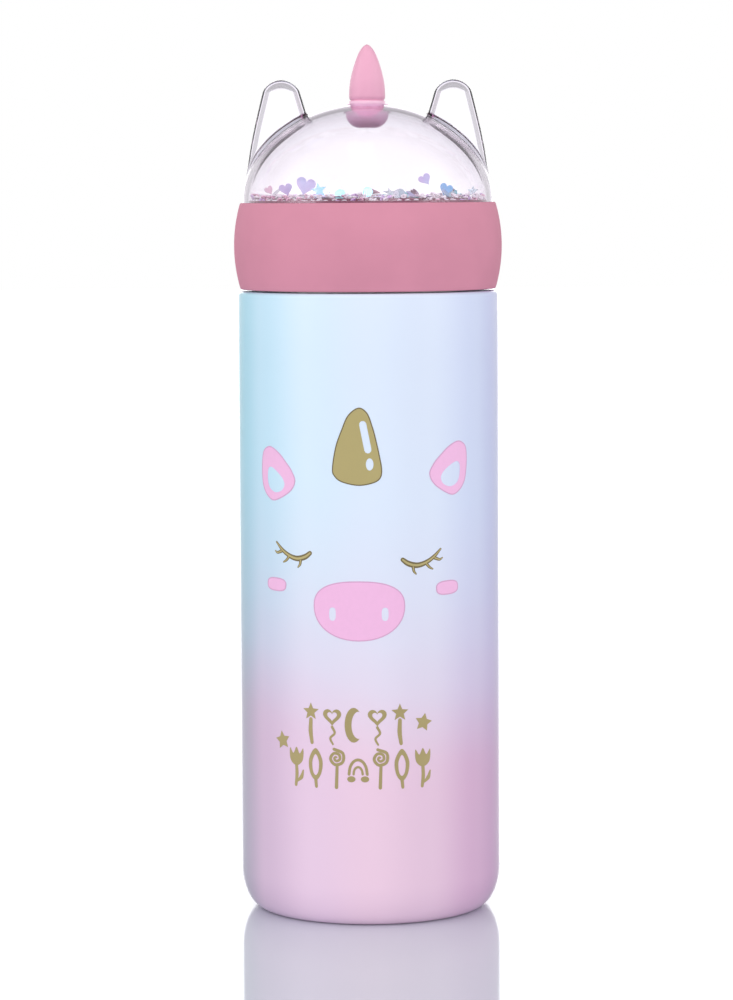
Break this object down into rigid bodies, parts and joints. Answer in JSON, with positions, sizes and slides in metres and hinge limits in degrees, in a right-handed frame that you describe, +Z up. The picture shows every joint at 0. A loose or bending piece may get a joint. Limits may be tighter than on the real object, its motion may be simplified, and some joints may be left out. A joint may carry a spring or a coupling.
{
  "type": "water bottle",
  "caption": "Double-wall steel water bottle with a printed sleeping animal face, a screw lid with a pink barrel collar, and a clear eared dome with a pink horn and loose sequins.",
  "frame": {"origin": "centre of the foot ring, on the surface that the bottle stands on", "axes": "+Z up along the bottle's axis; -Y is the side with the printed face; +X is to the right of a viewer who looks at the face"},
  "size_m": [0.0718, 0.0718, 0.2325],
  "materials": {
    "body_paint": "glossy sprayed gradient from aqua and pale blue to lavender and pink, with printed motifs",
    "bare_steel": "bare drawn stainless steel",
    "base_steel": "satin pressed stainless steel",
    "solder": "dull solder bead",
    "getter_metal": "matt metal",
    "cap_plastic": "moulded food-grade plastic",
    "foam": "closed-cell foam",
    "collar_pink": "satin moulded plastic",
    "floor_pink": "glossy moulded plastic",
    "clear_plastic": "clear polished plastic",
    "horn_pink": "glossy moulded plastic",
    "sequin_film": "iridescent coated film",
    "bead_glass": "pearly tiny ring beads",
    "silicone": "translucent white silicone"
  },
  "bodies": {
    "bottle": {"outer_shell": "body_paint", "threaded_neck": "bare_steel", "inner_liner": "bare_steel", "liner_bottom": "bare_steel", "vacuum_base": "bare_steel", "vacuum_seal": "solder", "getter_capsule": "getter_metal", "base_cover": "base_steel"},
    "lid_seal": {"lid_gasket": "silicone"},
    "lid": {"inner_cap": "cap_plastic", "lid_insulation": "foam", "lid_collar": "collar_pink", "dome_floor": "floor_pink", "dome": "clear_plastic", "horn_plug": "horn_pink", "horn": "horn_pink", "heart_sequins": "sequin_film", "star_sequins": "sequin_film", "round_sequins": "sequin_film", "beads": "bead_glass"}
  },
  "joints": [
    {"name": "lid_rise", "type": "slide", "parent": "bottle", "child": "lid_seal", "axis": [0, 0, 1], "range_m": [0, 0.026]},
    {"name": "lid_turn", "type": "hinge", "parent": "lid_seal", "child": "lid", "pos_m": [0, 0, 0.18], "axis": [0, 0, 1], "range_deg": [0, 1170]}
  ],
  "couplings": [
    {"joint": "lid_rise", "follows": "lid_turn", "m_per_rad": 0.0012732}
  ]
}
